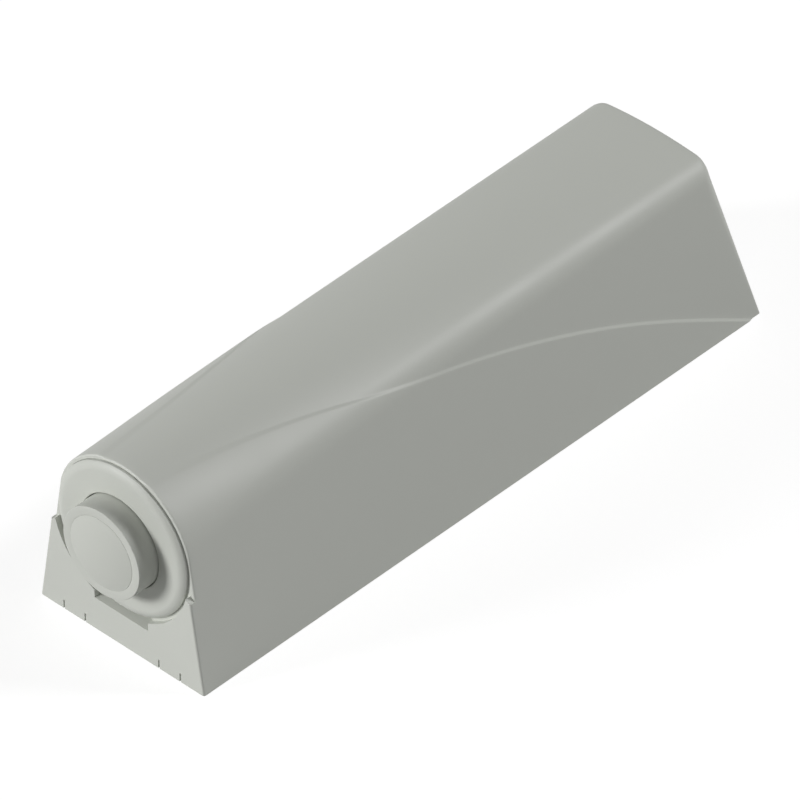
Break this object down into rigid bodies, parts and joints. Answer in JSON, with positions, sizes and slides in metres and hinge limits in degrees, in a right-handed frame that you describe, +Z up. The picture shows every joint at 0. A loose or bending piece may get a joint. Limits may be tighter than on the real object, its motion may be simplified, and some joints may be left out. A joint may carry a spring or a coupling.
{
  "type": "push to open catch",
  "caption": "Surface-mounted push to open pin catch: a tapered moulded housing on a screw-down plate with a spring-driven plunger and an adjustable soft-tipped nose.",
  "frame": {"origin": "middle of the two screw holes, on the mounting face", "axes": "+X across the housing, +Y from the pin end to the rear, +Z up from the mounting face"},
  "size_m": [0.0182, 0.0679, 0.018],
  "materials": {
    "housing_plastic": "matt",
    "plate_plastic": "matt",
    "flange_plastic": "matt",
    "plunger_plastic": "matt",
    "nose_plastic": "matt",
    "cam_plastic": "matt",
    "pad_rubber": "matt",
    "soft_rubber": "matt",
    "plain_steel": "plain",
    "spring_steel": "drawn"
  },
  "bodies": {
    "housing": {"housing_shell": "housing_plastic", "mounting_plate": "plate_plastic", "cartridge_barrel": "flange_plastic", "barrel_clip": "spring_steel", "guide_ring": "soft_rubber", "cam_sleeve": "cam_plastic", "end_cap": "cam_plastic", "end_buffer": "soft_rubber", "guide_rod": "plain_steel", "rear_spring_seat": "plain_steel", "main_spring": "spring_steel"},
    "plunger": {"plunger_tube": "plunger_plastic", "front_spring_seat": "plain_steel", "thrust_washer": "plain_steel", "rotor_clip": "spring_steel", "detent_spring": "spring_steel"},
    "rotor": {"index_rotor": "cam_plastic"},
    "click_ring": {"detent_ring": "cam_plastic"},
    "nose": {"nose_cap": "nose_plastic", "adjusting_stud": "plain_steel", "bumper_pad": "pad_rubber"}
  },
  "joints": [
    {"name": "plunger_slide", "type": "slide", "parent": "housing", "child": "plunger", "axis": [0, -1, 0], "range_m": [-0.0011, 0.02], "deforming": ["main_spring"]},
    {"name": "rotor_turn", "type": "hinge", "parent": "plunger", "child": "rotor", "pos_m": [0, 0.0235, 0.01075], "axis": [0, 1, 0], "continuous": true},
    {"name": "nose_turn", "type": "hinge", "parent": "plunger", "child": "click_ring", "pos_m": [0, -0.0265, 0.01075], "axis": [0, -1, 0], "range_deg": [0, 720]},
    {"name": "nose_advance", "type": "slide", "parent": "click_ring", "child": "nose", "axis": [0, -1, 0], "range_m": [0, 0.002]}
  ],
  "couplings": [
    {"joint": "nose_turn", "follows": "nose_advance", "rad_per_m": 6283.2}
  ]
}
